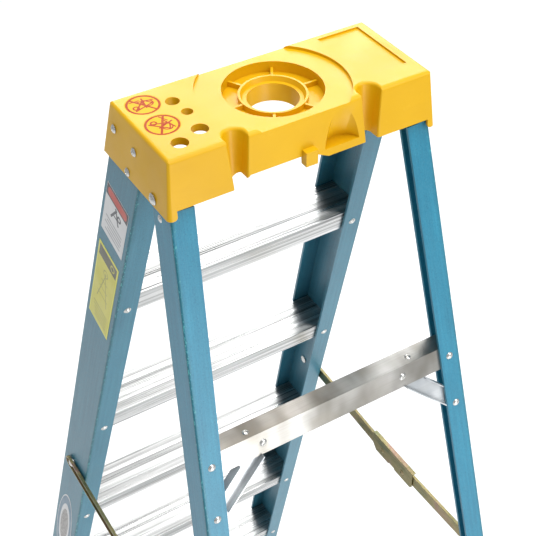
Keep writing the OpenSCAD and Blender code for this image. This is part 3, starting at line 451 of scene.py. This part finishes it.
def ban_decal(name, node, tilt):
    """A red ring with a slash and a few plain strokes, on the cap's own yellow."""
    m = Mat(name)
    low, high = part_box(node)
    a, b, _ = m.parts(m.moved(m.coord.outputs["Object"], (0, 0, tilt), (low + high) / 2))
    base = m.ramp(m.noise(m.mapped(), 30, 4), CAP_YELLOW)
    within = m.math("LESS_THAN", m.length(a, b), 0.0175)
    strokes = m.bars(a, b, [(30, (0.001, 0.004), 0.0010, 0.013), (58, (0.002, -0.003), 0.0010, 0.011),
                            (95, (-0.003, 0.002), 0.0010, 0.010), (2, (-0.004, -0.007), 0.0009, 0.009),
                            (140, (0.003, 0.008), 0.0009, 0.006), (12, (0.006, -0.010), 0.0008, 0.006)])
    rounds = [m.ring(a, b, (0.0085, 0.0045), 0.0030, 0.0010), m.ring(a, b, (-0.006, -0.002), 0.0055, 0.0008)]
    slash = m.bar(a, b, -45, (0, 0), 0.0013, 0.018)
    inside = m.math("MULTIPLY", m.either(*strokes, *rounds, slash), within)
    marks = m.either(inside, m.ring(a, b, (0, 0), 0.0176, 0.0013))
    faded = m.grey(m.noise(m.mapped(), 300, 5, 0.7), [(0.35, 0.86), (0.6, 1.0)])
    base = m.mix(m.math("MULTIPLY", marks, faded), base, (0.34, 0.022, 0.000))
    m.set(Specular_IOR_Level=0.12)
    return film(m, base, (0.42, 0.54), 0.06)


MATERIALS = {
    "cap_plastic": cap_plastic(),
    "step_aluminium": drawn_metal("step_aluminium", (0.78, 0.78, 0.77), (0.26, 0.265, 0.26), (0.24, 0.38)),
    "brace_aluminium": rolled_metal("brace_aluminium", (0.56, 0.55, 0.53), (0.24, 0.23, 0.205)),
    "bracket_aluminium": rolled_metal("bracket_aluminium", (0.66, 0.68, 0.69), (0.36, 0.39, 0.41), 0.55),
    "bracket_steel": zinc_steel(),
    "rivet_steel": bright_rivet(),
    "spreader_zinc": yellow_zinc(),
    "shoe_rubber": shoe_rubber(),
}
# Both kinds of rail are the same resin. The rear rails' copy is lighter and bluer: painted light standing in
# for the light that falls on their rear faces.
FRONT_RESIN = rail_resin("front_rail_resin", FRONT_CORNER, FRONT_LEAN, FRONT_WEB,
                         (0.020, 0.145, 0.215), (0.042, 0.205, 0.290))
REAR_RESIN_PAINTED_LIGHT = rail_resin("rear_rail_resin_painted_light", REAR_CORNER, -REAR_LEAN, REAR_WEB,
                        (0.008, 0.175, 0.285), (0.018, 0.245, 0.375))
LABELS = {
    "rail_label_upper": notice_label(),
    "rail_label_lower": care_label(),
    "rail_badge": badge_label(),
    "cap_decal_front": ban_decal("decal_front_print", "cap_decal_front", 12),
    "cap_decal_rear": ban_decal("decal_rear_print", "cap_decal_rear", 74),
}


def material_for(node):
    if node in LABELS:
        return LABELS[node]
    if node.startswith("front_rail"):
        return FRONT_RESIN
    if node.startswith("rear_rail"):
        return REAR_RESIN_PAINTED_LIGHT
    if node.startswith("gusset") and "rivets" not in node:
        return MATERIALS["bracket_aluminium"]
    if node.startswith("spreader_plate_rivets"):
        return MATERIALS["spreader_zinc"]
    return MATERIALS[SLOT_OF[node]]


# ------------------------------------------------------------------ softened copies

def paint(obj, node):
    obj.data.materials.clear()
    obj.data.materials.append(material_for(node))


def clean_mesh(node):
    """A copy of a CAD node's mesh with its flat triangles joined into whole faces."""
    bm = bmesh.new()
    bm.from_mesh(NODES[node].data)
    bmesh.ops.remove_doubles(bm, verts=bm.verts, dist=2e-6)
    bmesh.ops.dissolve_limit(bm, angle_limit=math.radians(0.4), verts=bm.verts, edges=bm.edges)
    me = bpy.data.meshes.new(node + "_soft")
    bm.to_mesh(me)
    bm.free()
    for p in me.polygons:
        p.use_smooth = True
    return me


def soften(node, width):
    """Rounds a CAD node's edges by a small radius, so they catch the light."""
    obj = bpy.data.objects.new(node + "_body", clean_mesh(node))
    bpy.context.scene.collection.objects.link(obj)
    bevel = obj.modifiers.new("edge", "BEVEL")
    bevel.width = width
    bevel.segments = 2
    bevel.limit_method = "ANGLE"
    bevel.angle_limit = math.radians(38)
    bevel.use_clamp_overlap = True
    bevel.harden_normals = False
    weighted = obj.modifiers.new("normals", "WEIGHTED_NORMAL")
    weighted.keep_sharp = False
    weighted.weight = 80
    paint(obj, node)
    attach(obj, BODY_OF[node])
    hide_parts(node)


# How far the edges of each kind of node are rounded.
RIVET_EDGE = 0.00015
SOFT_EDGE = {
    "top_cap": 0.0009,
    "front_rail": 0.0006, "rear_rail": 0.0006,
    "step_": 0.0003, "rear_brace": 0.0004, "gusset": 0.0003, "knee_brace": 0.0003,
    "front_shoe": 0.0012, "rear_shoe": 0.0012, "hinge_plate": 0.0003,
    "spreader": 0.0004,
}


def edge_for(node):
    if any(word in node for word in ("rivet", "pins", "pivots")):
        return RIVET_EDGE
    return next(width for kind, width in SOFT_EDGE.items() if node.startswith(kind))


# The printed films keep their own edges, and all else is softened.
for node in sorted(NODES):
    if node in LABELS:
        paint(NODES[node], node)
    else:
        soften(node, edge_for(node))


# ------------------------------------------------------------------ stage

def floor():
    """A wide white sheet just under the shoes."""
    me = bpy.data.meshes.new("floor")
    half = 30
    me.from_pydata([(-half, -half, 0), (half, -half, 0), (half, half, 0), (-half, half, 0)],
                   [], [(0, 1, 2, 3)])
    obj = bpy.data.objects.new("floor", me)
    obj.location.z = -0.0006
    bpy.context.scene.collection.objects.link(obj)
    m = Mat("floor_paper")
    base = m.ramp(m.noise(m.mapped(), 3, 3), [(0.3, (0.90, 0.90, 0.90)), (0.7, (0.93, 0.93, 0.93))])
    m.set(Roughness=0.9, Specular_IOR_Level=0.1)
    obj.data.materials.append(m.finish(base))


def area_light(name, place, target, size, power):
    light = bpy.data.lights.new(name, "AREA")
    light.shape = "RECTANGLE"
    light.size, light.size_y = size
    light.energy = power
    obj = bpy.data.objects.new(name, light)
    obj.location = place
    obj.rotation_euler = (Vector(target) - Vector(place)).to_track_quat("-Z", "Y").to_euler()
    bpy.context.scene.collection.objects.link(obj)


def world():
    """A pale, even studio sky."""
    w = bpy.data.worlds.new("studio")
    bpy.context.scene.world = w
    w.use_nodes = True
    back = w.node_tree.nodes["Background"]
    back.inputs["Color"].default_value = (0.95, 0.97, 1.0, 1)
    back.inputs["Strength"].default_value = 0.50


def camera():
    """The photograph's view: from behind, above and to the right of the cap."""
    cam = bpy.data.cameras.new("camera")
    cam.sensor_width = 36
    cam.lens = 76.75
    cam.shift_x, cam.shift_y = 0.00175, 0.0053
    cam.clip_start = 0.05
    cam.clip_end = 100
    eye = Vector((0.56306, 0.95503, TOP + 0.66197))
    aim = Vector((0.03082, 0.07918, TOP - 0.22648))
    roll = math.radians(-0.3134)
    ahead = (aim - eye).normalized()
    level = ahead.cross(Vector((0, 0, 1))).normalized()
    above = level.cross(ahead)
    right = math.cos(roll) * level + math.sin(roll) * above
    up = math.cos(roll) * above - math.sin(roll) * level
    obj = bpy.data.objects.new("camera", cam)
    turn = Matrix((right, up, -ahead)).transposed().to_4x4()
    obj.matrix_world = Matrix.Translation(eye) @ turn
    bpy.context.scene.collection.objects.link(obj)
    bpy.context.scene.camera = obj


camera()
world()
floor()
# Each light's place, the point it faces, its sides and its watts.
LIGHTS = {
    "overhead": ((-0.4, 0.3, 5.2), (0, 0, 1.2), (3.4, 3.4), 150),
    "key": ((-1.9, 3.4, 3.6), (0, 0, 1.3), (2.2, 2.2), 62),
    "rail_sheen": ((-0.20, 2.05, 0.62), (0.17, 0.25, 1.35), (0.8, 1.3), 16),
    "sheen": ((-1.9, -3.2, 3.4), (0, 0, TOP), (2.6, 2.0), 105),
}
for name, settings in LIGHTS.items():
    area_light(name, *settings)

bpy.context.scene.view_settings.view_transform = "Standard"
bpy.context.view_layer.update()
